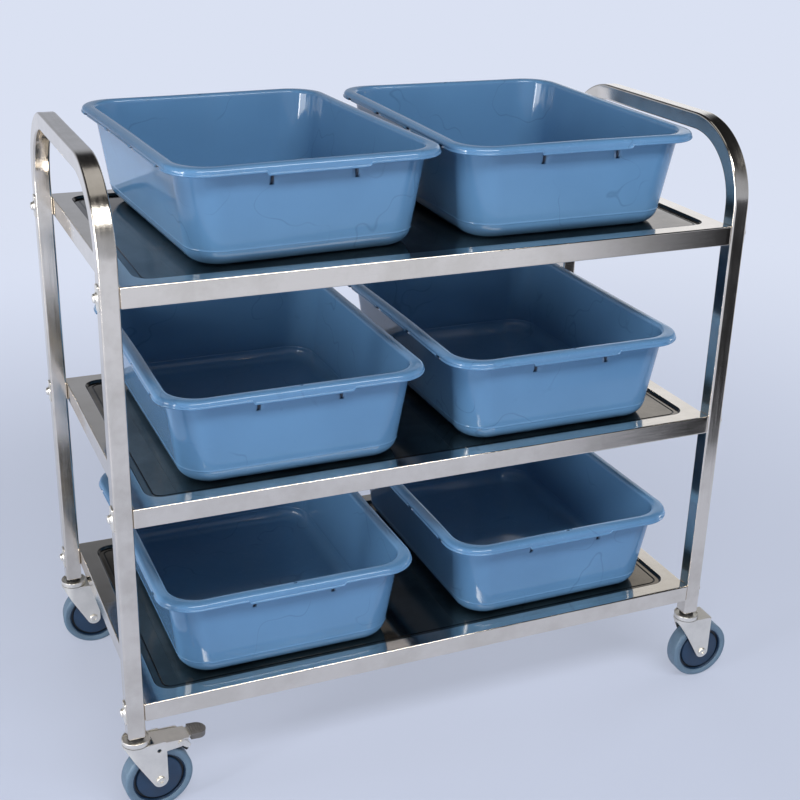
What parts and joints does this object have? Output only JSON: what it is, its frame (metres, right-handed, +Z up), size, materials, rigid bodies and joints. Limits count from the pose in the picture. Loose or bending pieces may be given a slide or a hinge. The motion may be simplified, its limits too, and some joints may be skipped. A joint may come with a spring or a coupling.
{
  "type": "bussing trolley",
  "caption": "Tiered stainless steel bussing trolley with bent tube end handles, pressed shelves, swivel castors with foot brakes and loose blue plastic bus tubs.",
  "frame": {"origin": "on the floor below the middle of the frame", "axes": "+X along the trolley towards the right-hand end frame, +Y from front to back, +Z up"},
  "size_m": [1.0493, 0.5323, 0.932],
  "materials": {
    "polished_stainless": "mirror polished, fine handling marks",
    "zinc_plated_steel": "bright zinc plate",
    "black_plastic": "moulded",
    "grey_rubber": "satin blue grey",
    "navy_plastic": "moulded",
    "black_rubber": "matte",
    "blue_plastic": "glossy moulded polypropylene"
  },
  "bodies": {
    "frame": {"left_end_frame": "polished_stainless", "right_end_frame": "polished_stainless", "bottom_shelf": "polished_stainless", "bottom_shelf_stiffener": "polished_stainless", "middle_shelf": "polished_stainless", "middle_shelf_stiffener": "polished_stainless", "top_shelf": "polished_stainless", "top_shelf_stiffener": "polished_stainless", "shelf_bolts": "zinc_plated_steel", "shelf_washers": "zinc_plated_steel", "shelf_nuts": "zinc_plated_steel", "leg_plugs": "black_plastic", "castor_cups": "zinc_plated_steel", "castor_stems": "zinc_plated_steel", "castor_balls": "zinc_plated_steel"},
    "front_left_swivel": {"front_left_fork": "zinc_plated_steel", "front_left_axle": "zinc_plated_steel", "front_left_axle_nut": "zinc_plated_steel", "front_left_brake_pin": "zinc_plated_steel"},
    "front_left_wheel": {"front_left_tyre": "grey_rubber", "front_left_hub": "navy_plastic", "front_left_bush": "zinc_plated_steel"},
    "front_left_brake": {"front_left_brake_lever": "zinc_plated_steel", "front_left_brake_pad": "black_plastic", "front_left_brake_shoe": "black_rubber"},
    "front_right_swivel": {"front_right_fork": "zinc_plated_steel", "front_right_axle": "zinc_plated_steel", "front_right_axle_nut": "zinc_plated_steel"},
    "front_right_wheel": {"front_right_tyre": "grey_rubber", "front_right_hub": "navy_plastic", "front_right_bush": "zinc_plated_steel"},
    "rear_left_swivel": {"rear_left_fork": "zinc_plated_steel", "rear_left_axle": "zinc_plated_steel", "rear_left_axle_nut": "zinc_plated_steel"},
    "rear_left_wheel": {"rear_left_tyre": "grey_rubber", "rear_left_hub": "navy_plastic", "rear_left_bush": "zinc_plated_steel"},
    "rear_right_swivel": {"rear_right_fork": "zinc_plated_steel", "rear_right_axle": "zinc_plated_steel", "rear_right_axle_nut": "zinc_plated_steel", "rear_right_brake_pin": "zinc_plated_steel"},
    "rear_right_wheel": {"rear_right_tyre": "grey_rubber", "rear_right_hub": "navy_plastic", "rear_right_bush": "zinc_plated_steel"},
    "rear_right_brake": {"rear_right_brake_lever": "zinc_plated_steel", "rear_right_brake_pad": "black_plastic", "rear_right_brake_shoe": "black_rubber"},
    "top_left_tub": {"top_left_tub": "blue_plastic"},
    "top_right_tub": {"top_right_tub": "blue_plastic"},
    "middle_left_tub": {"middle_left_tub": "blue_plastic"},
    "middle_right_tub": {"middle_right_tub": "blue_plastic"},
    "bottom_left_tub": {"bottom_left_tub": "blue_plastic"},
    "bottom_right_tub": {"bottom_right_tub": "blue_plastic"}
  },
  "joints": [
    {"name": "front_left_swivel", "type": "hinge", "parent": "frame", "child": "front_left_swivel", "pos_m": [-0.4625, -0.2345, 0.114], "axis": [0, 0, 1], "continuous": true},
    {"name": "front_left_roll", "type": "hinge", "parent": "front_left_swivel", "child": "front_left_wheel", "pos_m": [-0.43457, -0.23255, 0.05], "axis": [-0.0698, 0.9976, 0], "continuous": true},
    {"name": "front_left_brake", "type": "hinge", "parent": "front_left_swivel", "child": "front_left_brake", "pos_m": [-0.40265, -0.23031, 0.1045], "axis": [-0.0698, 0.9976, 0], "range_deg": [0, 10]},
    {"name": "front_right_swivel", "type": "hinge", "parent": "frame", "child": "front_right_swivel", "pos_m": [0.4625, -0.2345, 0.114], "axis": [0, 0, 1], "continuous": true},
    {"name": "front_right_roll", "type": "hinge", "parent": "front_right_swivel", "child": "front_right_wheel", "pos_m": [0.49048, -0.23548, 0.05], "axis": [0.0349, 0.9994, 0], "continuous": true},
    {"name": "rear_left_swivel", "type": "hinge", "parent": "frame", "child": "rear_left_swivel", "pos_m": [-0.4625, 0.2345, 0.114], "axis": [0, 0, 1], "continuous": true},
    {"name": "rear_left_roll", "type": "hinge", "parent": "rear_left_swivel", "child": "rear_left_wheel", "pos_m": [-0.43461, 0.23206, 0.05], "axis": [0.0872, 0.9962, 0], "continuous": true},
    {"name": "rear_right_swivel", "type": "hinge", "parent": "frame", "child": "rear_right_swivel", "pos_m": [0.4625, 0.2345, 0.114], "axis": [0, 0, 1], "continuous": true},
    {"name": "rear_right_roll", "type": "hinge", "parent": "rear_right_swivel", "child": "rear_right_wheel", "pos_m": [0.49023, 0.2384, 0.05], "axis": [-0.1392, 0.9903, 0], "continuous": true},
    {"name": "rear_right_brake", "type": "hinge", "parent": "rear_right_swivel", "child": "rear_right_brake", "pos_m": [0.52192, 0.24285, 0.1045], "axis": [-0.1392, 0.9903, 0], "range_deg": [0, 10]},
    {"name": "top_left_tub_lift", "type": "slide", "parent": "frame", "child": "top_left_tub", "axis": [0, 0, 1], "range_m": [0, 0.2]},
    {"name": "top_right_tub_lift", "type": "slide", "parent": "frame", "child": "top_right_tub", "axis": [0, 0, 1], "range_m": [0, 0.2]},
    {"name": "middle_left_tub_draw", "type": "slide", "parent": "frame", "child": "middle_left_tub", "axis": [0, -0.9903, 0.1392], "range_m": [0, 0.52]},
    {"name": "middle_right_tub_draw", "type": "slide", "parent": "frame", "child": "middle_right_tub", "axis": [0, -0.9903, 0.1392], "range_m": [0, 0.52]},
    {"name": "bottom_left_tub_draw", "type": "slide", "parent": "frame", "child": "bottom_left_tub", "axis": [0, -0.9903, 0.1392], "range_m": [0, 0.52]},
    {"name": "bottom_right_tub_draw", "type": "slide", "parent": "frame", "child": "bottom_right_tub", "axis": [0, -0.9903, 0.1392], "range_m": [0, 0.52]}
  ]
}
